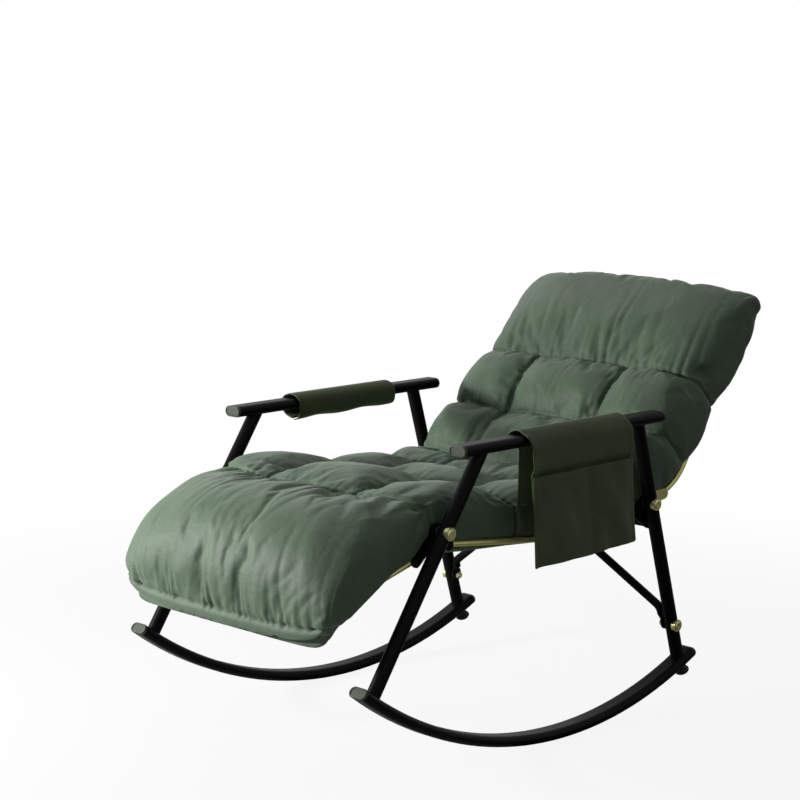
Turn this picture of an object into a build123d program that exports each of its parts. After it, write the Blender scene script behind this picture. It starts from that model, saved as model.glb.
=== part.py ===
from build123d import *
import os
from math import cos, hypot, pi, radians, sin

os.makedirs("parts", exist_ok=True)

# The chair stands on z = 0 and faces -Y. The origin lies on the floor, midway between the two
# runners, where they touch it. +X is the sitter's left. Sizes are in millimetres and degrees.

# Side frames
half_track = 290.0
oval_width = 40.0
oval_height = 20.0
oval_wall = 1.5
runner_radius = 841.0
runner_front_angle = -37.45
runner_rear_angle = 25.1
leg_diameter = 25.0
leg_wall = 1.5
front_foot_angle = -35.3
rear_foot_angle = 23.1
front_leg_top_y = -216.6
rear_leg_top_y = 188.7
armrest_z = 555.0
armrest_front_y = -274.5
armrest_rear_y = 244.0

# Plastic end caps and the rubber stop feet
cap_thickness = 5.0
rear_cap_thickness = 8.0
rear_cap_edge = 7.0
cap_edge = 2.0
cap_recess = 1.2
cap_rim = 3.5
plug_length = 16.0
plug_clearance = 0.2
stop_angle = 23.3
stop_height = 20.0
stop_neck_radius = 9.0
stop_foot_radius = 14.0
stop_neck_length = 6.0
stop_flare_length = 14.0
stop_rim_length = 17.0
stop_screw_radius = 2.5
stop_screw_head_radius = 4.5
stop_screw_head_height = 3.0
stop_screw_recess = 7.0
stop_screw_grip = 8.0
stop_bed = 4.0

# Bolts through the legs and what is stacked on them
front_pivot_z = 420.0
rear_pivot_z = 393.0
brace_bolt_z = 150.0
bolt_diameter = 8.0
bolt_fit = 0.05
bolt_head_diameter = 17.0
bolt_head_height = 3.2
bolt_head_round = 1.6
bolt_socket = 6.0
bolt_socket_depth = 1.8
bolt_tail = 1.5
saddle_diameter = 23.0
saddle_thickness = 2.6
saddle_pocket = 1.0
saddle_skirt = 5.5
spacer_diameter = 20.0
spacer_thickness = 2.0
plate_thickness = 4.0
pivot_eye_radius = 14.0
plate_end_radius = 10.0
back_plate_reach = 45.0
footrest_plate_reach = 22.0
washer_diameter = 18.0
washer_thickness = 1.0
nut_flats = 13.0
nut_height = 8.0
nut_collar_height = 2.0
nut_collar_radius = 5.6

# Rails, cross tubes and slings
rail_width = 20.0
rail_height = 10.0
rail_wall = 1.2
cross_tube_diameter = 16.0
cross_tube_wall = 1.2
sling_thickness = 2.0
sling_margin = 4.0
seat_sling_front_inset = 30.0
seat_sling_rear_inset = 70.0
back_sling_inset = 25.0
footrest_sling_inset = 25.0
seat_rail_start = (26.0, -27.0)
seat_dip_offset = (-175.2, -41.0)
seat_dip_radius = 450.0
seat_rail_end = (-27.0, -14.0)
front_cross_at = 45.0
rear_cross_drop = 41.0
back_rail_start = (20.0, -5.0)
back_corner = (106.0, 18.0)
back_bend_radius = 110.0
back_angle = 57.0
back_rail_length = 330.0
back_middle_tube_at = 160.0
footrest_rail_start = (-25.0, -40.0)
footrest_slope = 15.4
footrest_rail_length = 195.0

# Rear brace: a bent tube with flattened ends
brace_diameter = 16.0
brace_wall = 1.2
brace_end_width = 22.0
brace_end_thickness = 5.0
brace_flat_length = 10.0
brace_swage_length = 10.0
brace_corner_at = 33.0
brace_leg_gap = 0.5
brace_end_bend = 20.0
brace_top_bend = 60.0
brace_top_half = 40.0

# Quilted cushion
soft_gap = 0.3
column_seam_x = 105.0
pad_side_bulge = 5.0
pad_edge_margin = 7.5
pad_puff_margin = 2.0
pad_sink = 4.0
row_seam_crown = 5.0
puff_crown = 22.0
back_puff_crown = 30.0
seat_seams = (-300.0, -105.0, 65.0, 172.0)
seat_side_height = 74.0
seat_seam_heights = (80.0, 76.0, 76.0, 66.0)
seat_puff_heights = (92.0, 88.0, 72.0)
back_knuckle_radius = 81.0
back_knuckle_top = 117.0
back_knuckle_bottom = 200.0
back_heel = (30.0, -1.0)
lumbar_height = 98.0
lumbar_side_height = 92.0
back_seams = (61.0, 185.0)
back_seam_heights = (116.0, 90.0)
back_side_heights = (90.0, 56.0)
head_half = 269.0
head_hood_overlap = 34.0
head_over_rail = 15.0
head_roll = 67.0
head_hang = 48.0
head_side_heights = (54.0, 40.0, 24.0)
head_crowns = (34.0, 56.0, 46.0)
footrest_knuckle_radius = 50.0
footrest_knuckle_top = 102.0
footrest_heel = 8.0
footrest_half = 266.0
footrest_side_heights = (78.0, 68.0, 50.0)
footrest_crowns = (12.0, 40.0, 38.0)
footrest_hood_overlap = 95.0
footrest_over_rail = 5.0
footrest_roll = 52.0
footrest_hang = 60.0
roll_sides = (0.85, 0.4)
roll_crowns = (0.75, 0.3)
roll_tip_width = 0.96
roll_tip_lift = 0.25
hood_thickness = 2.0
hood_gap = 0.5

# Armrest bag, its pockets and the sleeve on the other armrest
cloth_thickness = 4.0
cloth_gap = 0.3
bag_front_y = -120.0
bag_rear_y = 137.0
bag_outer_bottom_z = 335.0
bag_inner_bottom_z = 432.0
pocket_top_z = 500.0
pocket_depth = 13.0
pocket_wall = 2.5
sleeve_front_y = -135.0
sleeve_rear_y = 118.0
sleeve_bottom_z = 530.0
sleeve_fold_radius = 9.3

sides = (("left", 1), ("right", -1))


def on_runner(angle, inset):
    """Point (y, z) at this angle from the lowest point, this far inside the runner's floor face."""
    reach = runner_radius - inset
    return (reach * sin(radians(angle)), runner_radius - reach * cos(radians(angle)))


def along(start, angle, distance, rise=0.0):
    """Point (y, z) this far along a slope from start, and this far off it to its left."""
    run = (cos(radians(angle)), sin(radians(angle)))
    return (start[0] + distance * run[0] - rise * run[1], start[1] + distance * run[1] + rise * run[0])


def moved(point, step):
    return (point[0] + step[0], point[1] + step[1])


def on_line(start, end, z):
    """Point (y, z) at height z on the line through two points."""
    share = (z - start[1]) / (end[1] - start[1])
    return (start[0] + share * (end[0] - start[0]), z)


def toward(start, end, distance):
    """Point this far from start on the way to end."""
    run = Vector(end[0] - start[0], end[1] - start[1]).normalized()
    return (start[0] + run.X * distance, start[1] + run.Y * distance)


def shifted(points, distance):
    """The same bent line of three points, moved sideways to its left."""
    first, corner, last = (Vector(*point) for point in points)
    entry = (corner - first).normalized()
    leave = (last - corner).normalized()
    entry_side = Vector(-entry.Y, entry.X)
    leave_side = Vector(-leave.Y, leave.X)
    miter = (entry_side + leave_side) * (distance / (1 + entry_side.dot(leave_side)))
    moved_points = (first + entry_side * distance, corner + miter, last + leave_side * distance)
    return [(point.X, point.Y) for point in moved_points]


def runner_plane(x, angle):
    """Plane across the runner tube at this angle."""
    tangent = (0, cos(radians(angle)), sin(radians(angle)))
    return Plane(origin=(x, *on_runner(angle, oval_height / 2)), x_dir=(1, 0, 0), z_dir=tangent)


# Places on the side frames that the other pieces take theirs from
front_leg_line = (on_runner(front_foot_angle, oval_height / 2), (front_leg_top_y, armrest_z))
rear_leg_line = (on_runner(rear_foot_angle, oval_height / 2), (rear_leg_top_y, armrest_z))
front_pivot = on_line(*front_leg_line, front_pivot_z)
rear_pivot = on_line(*rear_leg_line, rear_pivot_z)
brace_bolt = on_line(*rear_leg_line, brace_bolt_z)
runner_axis = Axis((0, 0, runner_radius), (1, 0, 0))

# Across the chair, from a leg inwards: spacer, seat plate, washer, moving plate, nut, bolt end
leg_inner_x = half_track - leg_diameter / 2
leg_outer_x = half_track + leg_diameter / 2
seat_plate_x = leg_inner_x - spacer_thickness - plate_thickness / 2
moving_plate_x = seat_plate_x - plate_thickness - washer_thickness
seat_rail_x = seat_plate_x - plate_thickness / 2 - rail_width / 2
moving_rail_x = moving_plate_x - plate_thickness / 2 - rail_width / 2
nut_outer_x = moving_plate_x - plate_thickness / 2
bolt_end_x = nut_outer_x - nut_height - bolt_tail
saddle_face_x = leg_outer_x + saddle_thickness
pad_half_at_seam = bolt_end_x - pad_edge_margin
pad_half_at_puff = bolt_end_x + pad_puff_margin
back_half = moving_rail_x + rail_width / 2
knuckle_half = moving_rail_x - rail_width / 2 - pad_puff_margin

# Side view of the rails
seat_dip = moved(rear_pivot, seat_dip_offset)
seat_line = (moved(front_pivot, seat_rail_start), seat_dip, moved(rear_pivot, seat_rail_end))
back_bend = moved(rear_pivot, back_corner)
back_line = (moved(rear_pivot, back_rail_start), back_bend, along(back_bend, back_angle, back_rail_length))
footrest_hinge_end = moved(front_pivot, footrest_rail_start)
footrest_line = (along(footrest_hinge_end, footrest_slope, -footrest_rail_length), footrest_hinge_end)
rear_cross = on_line(*rear_leg_line, rear_pivot_z - rear_cross_drop)
sling_top = rail_height / 2 + sling_thickness
pad_base = sling_top + soft_gap
head_hood_from = back_rail_length - head_hood_overlap
head_top_from = back_rail_length + head_over_rail
head_top = head_top_from + head_roll
footrest_hood_from = footrest_rail_length - footrest_hood_overlap
footrest_nose_from = footrest_rail_length + footrest_over_rail
footrest_nose = footrest_nose_from + footrest_roll


def runner_core(x, width, height, start, end):
    """Solid flat-oval bar bent along the runner."""
    with BuildPart() as core:
        with BuildSketch(runner_plane(x, start)):
            SlotOverall(width, height)
        revolve(axis=runner_axis, revolution_arc=end - start)
    return core.part


def armrest_core(x):
    """Solid flat-oval bar where the armrest tube runs."""
    with BuildPart() as core:
        with BuildSketch(Plane.XZ.offset(-armrest_front_y)):
            with Locations((x, armrest_z)):
                SlotOverall(oval_width, oval_height)
        extrude(amount=armrest_front_y - armrest_rear_y)
    return core.part


def leg_core(x, line):
    """Solid round bar where a leg tube runs."""
    foot, top = line
    run = (0, top[0] - foot[0], top[1] - foot[1])
    with BuildPart() as core:
        with BuildSketch(Plane(origin=(x, *foot), x_dir=(1, 0, 0), z_dir=run)):
            Circle(leg_diameter / 2)
        extrude(amount=hypot(*run))
    return core.part


def bolt_hole(x, point, length):
    """Round bar along X through a bolt's place."""
    with BuildPart(Location((x, *point), (0, 90, 0))) as hole:
        Cylinder(bolt_diameter / 2 + bolt_fit, length)
    return hole.part


def save(piece, name):
    piece.label = name
    export_step(piece, f"parts/{name}.step")


# Runners, legs and armrests, a left and a right one of each
for side, sign in sides:
    x = sign * half_track
    runner_bar = runner_core(x, oval_width, oval_height, runner_front_angle, runner_rear_angle)
    armrest_bar = armrest_core(x)
    stop_point = on_runner(stop_angle, oval_height / 2)

    with BuildPart() as runner:
        with BuildSketch(runner_plane(x, runner_front_angle)):
            SlotOverall(oval_width, oval_height)
            SlotOverall(oval_width - 2 * oval_wall, oval_height - 2 * oval_wall, mode=Mode.SUBTRACT)
        revolve(axis=runner_axis, revolution_arc=runner_rear_angle - runner_front_angle)
        down = (0, sin(radians(stop_angle)), -cos(radians(stop_angle)))
        with BuildSketch(Plane(origin=(x, *stop_point), x_dir=(1, 0, 0), z_dir=down)):
            Circle(stop_screw_radius + bolt_fit)
        extrude(amount=oval_height, mode=Mode.SUBTRACT)
    save(runner.part, f"{side}_runner")

    with BuildPart() as armrest:
        with BuildSketch(Plane.XZ.offset(-armrest_front_y)):
            with Locations((x, armrest_z)):
                SlotOverall(oval_width, oval_height)
                SlotOverall(oval_width - 2 * oval_wall, oval_height - 2 * oval_wall, mode=Mode.SUBTRACT)
        extrude(amount=armrest_front_y - armrest_rear_y)
    save(armrest.part, f"{side}_armrest")

    leg_plans = (("front", front_leg_line, (front_pivot,)), ("rear", rear_leg_line, (rear_pivot, brace_bolt)))
    for place, line, bolts in leg_plans:
        foot, top = line
        run = (0, top[0] - foot[0], top[1] - foot[1])
        with BuildPart() as leg:
            with BuildSketch(Plane(origin=(x, *foot), x_dir=(1, 0, 0), z_dir=run)):
                Circle(leg_diameter / 2)
                Circle(leg_diameter / 2 - leg_wall, mode=Mode.SUBTRACT)
            extrude(amount=hypot(*run))
            add(runner_bar, mode=Mode.SUBTRACT)
            add(armrest_bar, mode=Mode.SUBTRACT)
            for bolt in bolts:
                add(bolt_hole(x, bolt, 2 * leg_diameter), mode=Mode.SUBTRACT)
        save(leg.part, f"{side}_{place}_leg")

# Pivot plates, rails and cross tubes
plate_plans = (
    ("seat_front", front_pivot, seat_plate_x, (seat_line[0],)),
    ("seat_rear", rear_pivot, seat_plate_x, (seat_line[2], rear_cross)),
    ("back", rear_pivot, moving_plate_x, (toward(back_line[0], back_bend, back_plate_reach),)),
    ("footrest", front_pivot, moving_plate_x, (toward(*reversed(footrest_line), footrest_plate_reach),)),
)
for name, pivot, plate_x, reach in plate_plans:
    with BuildPart() as plates:
        for side, sign in sides:
            with BuildSketch(Plane.YZ.offset(sign * plate_x)):
                with Locations(pivot):
                    Circle(pivot_eye_radius)
                with Locations(*reach):
                    Circle(plate_end_radius)
                make_hull()
                with Locations(pivot):
                    Circle(bolt_diameter / 2 + bolt_fit, mode=Mode.SUBTRACT)
            extrude(amount=plate_thickness / 2, both=True)
    save(plates.part, f"{name}_pivot_plates")

rail_plans = (
    ("seat_rail", seat_line, seat_dip_radius, seat_rail_x),
    ("back_rail", back_line, back_bend_radius, moving_rail_x),
    ("footrest_rail", footrest_line, None, moving_rail_x),
)
for name, line, radius, rail_x in rail_plans:
    for side, sign in sides:
        with BuildPart() as rail:
            with BuildLine(Plane.YZ.offset(sign * rail_x)) as path:
                if radius:
                    FilletPolyline(*line, radius=radius)
                else:
                    Line(*line)
            with BuildSketch(Plane(origin=path.line @ 0, x_dir=(1, 0, 0), z_dir=path.line % 0)):
                SlotOverall(rail_width, rail_height)
                SlotOverall(rail_width - 2 * rail_wall, rail_height - 2 * rail_wall, mode=Mode.SUBTRACT)
            sweep(path=path.line)
        save(rail.part, f"{side}_{name}")

inner_rail_face = moving_rail_x - rail_width / 2
tube_drop = (rail_height - cross_tube_diameter) / 2
front_cross = moved(toward(seat_line[0], seat_dip, front_cross_at), (0, tube_drop - soft_gap))
cross_plans = (
    ("seat_front_cross_tube", front_cross, seat_rail_x - rail_width / 2),
    ("seat_rear_cross_tube", rear_cross, seat_plate_x - plate_thickness / 2),
    ("back_head_tube", along(back_line[2], back_angle, -cross_tube_diameter / 2, tube_drop), inner_rail_face),
    ("back_middle_tube", along(back_bend, back_angle, back_middle_tube_at, tube_drop), inner_rail_face),
    ("footrest_end_tube", along(footrest_line[0], footrest_slope, cross_tube_diameter / 2, tube_drop),
     inner_rail_face),
)
for name, centre, half in cross_plans:
    with BuildPart() as tube:
        with BuildSketch(Plane.YZ):
            with Locations(centre):
                Circle(cross_tube_diameter / 2)
                Circle(cross_tube_diameter / 2 - cross_tube_wall, mode=Mode.SUBTRACT)
        extrude(amount=half, both=True)
    save(tube.part, name)

# Rear brace: flattened ends on the inner faces of the rear legs, its middle under the rear cross tube
brace_plate_x = leg_inner_x - brace_end_thickness / 2
brace_nut_x = leg_inner_x - brace_end_thickness
brace_bolt_end_x = brace_nut_x - nut_height - bolt_tail
leg_run = Vector(0, rear_leg_line[1][0] - rear_leg_line[0][0], rear_leg_line[1][1] - rear_leg_line[0][1])
up_leg = leg_run.normalized()
brace_tube_x = leg_inner_x - brace_diameter / 2 - brace_leg_gap
brace_tube_foot = Vector(brace_tube_x, *brace_bolt)
brace_tube_start = brace_tube_foot + up_leg * (brace_flat_length + brace_swage_length)
brace_corner = brace_tube_foot + up_leg * brace_corner_at
brace_top = Vector(brace_top_half, *rear_cross) - up_leg * ((cross_tube_diameter + brace_diameter) / 2)
half_route = [brace_tube_start, brace_corner, brace_top]
other_half = [Vector(-point.X, point.Y, point.Z) for point in reversed(half_route)]
brace_bends = [brace_end_bend, brace_top_bend, brace_top_bend, brace_end_bend]

with BuildPart() as rear_brace:
    with BuildLine() as route:
        FilletPolyline(*half_route, *other_half, radius=brace_bends)
    with BuildSketch(Plane(origin=brace_tube_start, x_dir=(1, 0, 0), z_dir=up_leg)):
        Circle(brace_diameter / 2)
        Circle(brace_diameter / 2 - brace_wall, mode=Mode.SUBTRACT)
    sweep(path=route.line)
    for side, sign in sides:
        flat = Plane(origin=(sign * brace_plate_x, *brace_bolt), x_dir=up_leg, z_dir=(1, 0, 0))
        with BuildSketch(flat):
            Circle(brace_end_width / 2)
            with Locations((brace_flat_length / 2, 0)):
                Rectangle(brace_flat_length, brace_end_width)
            Circle(bolt_diameter / 2 + bolt_fit, mode=Mode.SUBTRACT)
        extrude(amount=brace_end_thickness / 2, both=True)
        flat_end = flat.origin + up_leg * brace_flat_length
        with BuildSketch(Plane(origin=flat_end, x_dir=(1, 0, 0), z_dir=up_leg)):
            Ellipse(brace_end_thickness / 2, brace_end_width / 2)
        tube_end = Vector(sign * brace_tube_x, brace_tube_start.Y, brace_tube_start.Z)
        with BuildSketch(Plane(origin=tube_end, x_dir=(1, 0, 0), z_dir=up_leg)):
            Circle(brace_diameter / 2)
        loft()
save(rear_brace.part, "rear_brace")


def bolt_piece(sign, point, end_x):
    """Button-head bolt from outside a leg to the nut inside it."""
    seat_x = saddle_face_x - saddle_pocket
    with BuildPart() as bolt:
        with BuildSketch(Plane(origin=(sign * end_x, *point), z_dir=(sign, 0, 0))):
            Circle(bolt_diameter / 2)
        extrude(amount=seat_x - end_x)
        head_plane = Plane(origin=(sign * seat_x, *point), z_dir=(sign, 0, 0))
        with BuildSketch(head_plane):
            Circle(bolt_head_diameter / 2)
        extrude(amount=bolt_head_height)
        outward = Axis(head_plane.origin, head_plane.z_dir)
        fillet(bolt.faces().sort_by(outward)[-1].edges(), bolt_head_round)
        with BuildSketch(head_plane.offset(bolt_head_height)):
            RegularPolygon(bolt_socket / 2, 6, major_radius=False)
        extrude(amount=-bolt_socket_depth, mode=Mode.SUBTRACT)
    return bolt.part


def nut_piece(sign, point, face_x):
    """Lock nut whose flat face looks outwards at face_x."""
    with BuildPart() as nut:
        with BuildSketch(Plane(origin=(sign * face_x, *point), z_dir=(-sign, 0, 0))):
            RegularPolygon(nut_flats / 2, 6, major_radius=False)
        extrude(amount=nut_height - nut_collar_height)
        with BuildSketch(Plane(origin=(sign * face_x, *point), z_dir=(-sign, 0, 0))):
            Circle(nut_collar_radius)
        extrude(amount=nut_height)
        add(bolt_hole(sign * face_x, point, 4 * nut_height), mode=Mode.SUBTRACT)
    return nut.part


def leg_pad(sign, line, point, radius, near_x, far_x):
    """Round pad along X at a bolt, hollowed to sit on the leg tube."""
    with BuildPart() as pad:
        with BuildSketch(Plane(origin=(sign * near_x, *point), z_dir=(sign, 0, 0))):
            Circle(radius)
            Circle(bolt_diameter / 2 + bolt_fit, mode=Mode.SUBTRACT)
        extrude(amount=far_x - near_x)
        add(leg_core(sign * half_track, line), mode=Mode.SUBTRACT)
    return pad.part


# Fasteners, grouped by kind
pivot_plans = ((front_leg_line, front_pivot), (rear_leg_line, rear_pivot))
washer_plans = (*pivot_plans, (rear_leg_line, brace_bolt))

with BuildPart() as pivot_bolts:
    for side, sign in sides:
        for line, point in pivot_plans:
            add(bolt_piece(sign, point, bolt_end_x))
save(pivot_bolts.part, "pivot_bolts")

with BuildPart() as brace_bolts:
    for side, sign in sides:
        add(bolt_piece(sign, brace_bolt, brace_bolt_end_x))
save(brace_bolts.part, "brace_bolts")

with BuildPart() as pivot_nuts:
    for side, sign in sides:
        for line, point in pivot_plans:
            add(nut_piece(sign, point, nut_outer_x))
save(pivot_nuts.part, "pivot_nuts")

with BuildPart() as brace_nuts:
    for side, sign in sides:
        add(nut_piece(sign, brace_bolt, brace_nut_x))
save(brace_nuts.part, "brace_nuts")

with BuildPart() as saddle_washers:
    for side, sign in sides:
        for line, point in washer_plans:
            skirt_x = leg_outer_x - saddle_skirt
            add(leg_pad(sign, line, point, saddle_diameter / 2, skirt_x, saddle_face_x))
            with BuildSketch(Plane(origin=(sign * saddle_face_x, *point), z_dir=(-sign, 0, 0))):
                Circle(bolt_head_diameter / 2 + saddle_pocket / 2)
            extrude(amount=saddle_pocket, mode=Mode.SUBTRACT)
save(saddle_washers.part, "saddle_washers")

with BuildPart() as leg_spacers:
    for side, sign in sides:
        for line, point in pivot_plans:
            spacer_x = leg_inner_x - spacer_thickness
            add(leg_pad(sign, line, point, spacer_diameter / 2, spacer_x, spacer_x + saddle_skirt))
save(leg_spacers.part, "leg_spacers")

with BuildPart() as pivot_washers:
    for side, sign in sides:
        for line, point in pivot_plans:
            washer_x = moving_plate_x + plate_thickness / 2
            with BuildSketch(Plane(origin=(sign * washer_x, *point), z_dir=(sign, 0, 0))):
                Circle(washer_diameter / 2)
                Circle(bolt_diameter / 2 + bolt_fit, mode=Mode.SUBTRACT)
            extrude(amount=washer_thickness)
save(pivot_washers.part, "pivot_washers")


def end_cap(plane, thickness, edge, recess):
    """Oval cap on a tube's end, on a plane that looks out of the tube."""
    with BuildPart() as cap:
        with BuildSketch(plane):
            SlotOverall(oval_width, oval_height)
        extrude(amount=thickness)
        fillet(cap.faces().sort_by(Axis(plane.origin, plane.z_dir))[-1].edges(), edge)
        if recess:
            with BuildSketch(plane.offset(thickness)):
                SlotOverall(oval_width - 2 * cap_rim, oval_height - 2 * cap_rim)
            extrude(amount=-recess, mode=Mode.SUBTRACT)
    return cap.part


# End caps with plugs inside the tubes
plug_width = oval_width - 2 * (oval_wall + plug_clearance)
plug_height = oval_height - 2 * (oval_wall + plug_clearance)
plug_angle = plug_length / runner_radius * 180 / pi

with BuildPart() as runner_front_caps:
    for side, sign in sides:
        x = sign * half_track
        tube_end = runner_plane(x, runner_front_angle)
        outward = Plane(origin=tube_end.origin, x_dir=(1, 0, 0), z_dir=-tube_end.z_dir)
        add(end_cap(outward, cap_thickness, cap_edge, cap_recess))
        add(runner_core(x, plug_width, plug_height, runner_front_angle, runner_front_angle + plug_angle))
save(runner_front_caps.part, "runner_front_caps")

with BuildPart() as runner_rear_caps:
    for side, sign in sides:
        x = sign * half_track
        add(end_cap(runner_plane(x, runner_rear_angle), rear_cap_thickness, rear_cap_edge, 0))
        add(runner_core(x, plug_width, plug_height, runner_rear_angle - plug_angle, runner_rear_angle))
save(runner_rear_caps.part, "runner_rear_caps")

for place, end_y, facing in (("front", armrest_front_y, -1), ("rear", armrest_rear_y, 1)):
    with BuildPart() as armrest_caps:
        for side, sign in sides:
            tube_end = (sign * half_track, end_y, armrest_z)
            outward = Plane(origin=tube_end, x_dir=(1, 0, 0), z_dir=(0, facing, 0))
            add(end_cap(outward, cap_thickness, cap_edge, cap_recess))
            with BuildSketch(outward):
                SlotOverall(plug_width, plug_height)
            extrude(amount=-plug_length)
    save(armrest_caps.part, f"armrest_{place}_caps")

# Rubber stop feet under the runners' rear ends, each held by a screw
stop_out = Vector(0, sin(radians(stop_angle)), -cos(radians(stop_angle)))
stop_seat = on_runner(stop_angle, 0)
stop_flare = (stop_neck_radius + stop_foot_radius) / 2

with BuildPart() as stop_feet:
    for side, sign in sides:
        x = sign * half_track
        origin = Vector(x, *stop_seat)
        across = Plane(origin=origin, x_dir=(1, 0, 0), z_dir=(0, -stop_out.Z, stop_out.Y))
        with BuildSketch(across):
            with BuildLine():
                Polyline((0, stop_height), (0, -stop_bed), (stop_neck_radius, -stop_bed),
                         (stop_neck_radius, stop_neck_length), (stop_foot_radius, stop_flare_length),
                         (stop_foot_radius, stop_rim_length), (stop_flare, stop_height), (0, stop_height))
            make_face()
        revolve(axis=Axis(origin, stop_out), revolution_arc=360)
        with BuildSketch(Plane(origin=origin, x_dir=(1, 0, 0), z_dir=stop_out)):
            Circle(stop_screw_radius + bolt_fit)
        extrude(amount=stop_height, both=True, mode=Mode.SUBTRACT)
        with BuildSketch(Plane(origin=origin + stop_out * stop_height, x_dir=(1, 0, 0), z_dir=stop_out)):
            Circle(stop_screw_head_radius + soft_gap)
        extrude(amount=-stop_screw_recess, mode=Mode.SUBTRACT)
        runner_bar = runner_core(x, oval_width, oval_height, runner_front_angle, runner_rear_angle)
        add(runner_bar, mode=Mode.SUBTRACT)
save(stop_feet.part, "stop_feet")

with BuildPart() as stop_screws:
    for side, sign in sides:
        head_seat = Vector(sign * half_track, *stop_seat) + stop_out * (stop_height - stop_screw_recess)
        with BuildSketch(Plane(origin=head_seat, x_dir=(1, 0, 0), z_dir=stop_out)):
            Circle(stop_screw_head_radius)
        extrude(amount=stop_screw_head_height)
        with BuildSketch(Plane(origin=head_seat, x_dir=(1, 0, 0), z_dir=-stop_out)):
            Circle(stop_screw_radius)
        extrude(amount=stop_height - stop_screw_recess + stop_screw_grip)
save(stop_screws.part, "stop_screws")


def band(line, radius, low, high, half):
    """Slab across the chair between two lines that follow a bent rail at these heights above it."""
    with BuildPart() as slab:
        with BuildSketch(Plane.YZ):
            with BuildLine():
                lower = FilletPolyline(*shifted(line, low), radius=radius - low)
                upper = FilletPolyline(*shifted(line, high), radius=radius - high)
                Line(lower @ 0, upper @ 0)
                Line(lower @ 1, upper @ 1)
            make_face()
        extrude(amount=half, both=True)
    return slab.part


def straight_band(start, end, low, high, half):
    """Slab across the chair between two heights above a straight rail."""
    run = Vector(end[0] - start[0], end[1] - start[1])
    plane = Plane(origin=(0, *start), x_dir=(0, run.X, run.Y), z_dir=(1, 0, 0))
    with BuildPart() as slab:
        with BuildSketch(plane):
            with Locations((run.length / 2, (low + high) / 2)):
                Rectangle(run.length, high - low)
        extrude(amount=half, both=True)
    return slab.part


# Slings: cloth stretched over the rails of each section
sling_half = moving_rail_x + rail_width / 2 - sling_margin
seat_sling_line = (toward(seat_line[0], seat_dip, seat_sling_front_inset), seat_dip,
                   toward(seat_line[2], seat_dip, seat_sling_rear_inset))
back_sling_line = (toward(back_line[0], back_bend, back_sling_inset), back_bend, back_line[2])
footrest_sling_end = toward(footrest_line[1], footrest_line[0], footrest_sling_inset)

seat_sling_half = seat_rail_x + rail_width / 2 - sling_margin
with BuildPart() as seat_sling:
    add(band(seat_sling_line, seat_dip_radius, rail_height / 2, sling_top, seat_sling_half))
save(seat_sling.part, "seat_sling")

with BuildPart() as back_sling:
    add(band(back_sling_line, back_bend_radius, rail_height / 2, sling_top, sling_half))
save(back_sling.part, "back_sling")

with BuildPart() as footrest_sling:
    add(straight_band(footrest_line[0], footrest_sling_end, rail_height / 2, sling_top, sling_half))
save(footrest_sling.part, "footrest_sling")

column_seams = (column_seam_x, -column_seam_x)


def pad_section(base, front, half, side, top, crown, seams=()):
    """Outline across the cushion, from its underside at base towards front: bowed sides, crowned puffs."""
    depth = Vector(front[0] - base[0], front[1] - base[1]).normalized()
    edges = (half, *seams, -half)
    levels = (side, *[top for seam in seams], side)
    foot = half - pad_side_bulge
    with BuildSketch(Plane(origin=(0, *base), x_dir=(1, 0, 0), z_dir=(0, -depth.Y, depth.X))) as section:
        with BuildLine():
            Line((-foot, 0), (foot, 0))
            ThreePointArc((foot, 0), (half + pad_side_bulge / 2, side / 2), (half, side))
            for column in range(len(edges) - 1):
                start = (edges[column], levels[column])
                end = (edges[column + 1], levels[column + 1])
                ThreePointArc(start, ((start[0] + end[0]) / 2, (start[1] + end[1]) / 2 + crown), end)
            ThreePointArc((-half, side), (-half - pad_side_bulge / 2, side / 2), (-foot, 0))
        make_face()
    return section.sketch


def rail_point(y):
    """Point of the seat rail's bent line at y."""
    first, corner, last = seat_line
    start, end = (first, corner) if y < corner[0] else (corner, last)
    return (y, start[1] + (y - start[0]) / (end[0] - start[0]) * (end[1] - start[1]))


# Seat cushion: three rows of three puffs, hollowed where the back and the footrest turn
with BuildPart() as seat_cushion:
    for row, puff_height in enumerate(seat_puff_heights):
        row_start, row_end = seat_seams[row:row + 2]
        start_height, end_height = seat_seam_heights[row:row + 2]
        middle = (row_start + row_end) / 2
        sections = []
        for y, top in ((row_start, start_height), (middle, puff_height), (row_end, end_height)):
            half = pad_half_at_puff if y == middle else pad_half_at_seam
            crown = puff_crown if y == middle else row_seam_crown
            base = moved(rail_point(y), (0, pad_base - pad_sink))
            above = moved(base, (0, 1))
            sections.append(pad_section(base, above, half, seat_side_height, top, crown, column_seams))
        loft(sections=sections)
    for pivot, radius in ((front_pivot, footrest_knuckle_radius), (rear_pivot, back_knuckle_radius)):
        with BuildSketch(Plane.YZ):
            with Locations(pivot):
                Circle(radius + soft_gap)
        extrude(amount=half_track, both=True, mode=Mode.SUBTRACT)
    add(band(seat_line, seat_dip_radius, -pad_sink, pad_base, half_track), mode=Mode.SUBTRACT)
save(seat_cushion.part, "seat_cushion")

# Back cushion: two rows of three puffs, a head puff and a top that folds over the head tube
heel = moved(rear_pivot, back_heel)
knuckle_crease = along(rear_pivot, back_knuckle_top, back_knuckle_radius)
knuckle_middle = along(rear_pivot, (back_knuckle_top + back_knuckle_bottom) / 2, back_knuckle_radius)
knuckle_end = along(rear_pivot, back_knuckle_bottom, back_knuckle_radius)
back_rise = pad_base - pad_sink


def back_section(at, half, side, top, crown, seams=(), rise=back_rise):
    """Outline across the back cushion at this distance up the back rail."""
    base = along(back_bend, back_angle, at, rise)
    front = along(back_bend, back_angle, at, rise + 1)
    return pad_section(base, front, half, side, top, crown, seams)


def head_section(at, half, side, crown, rise=back_rise):
    """Outline across the head puff, which has no column seams."""
    return back_section(at, half, side, side, crown, rise=rise)


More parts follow.
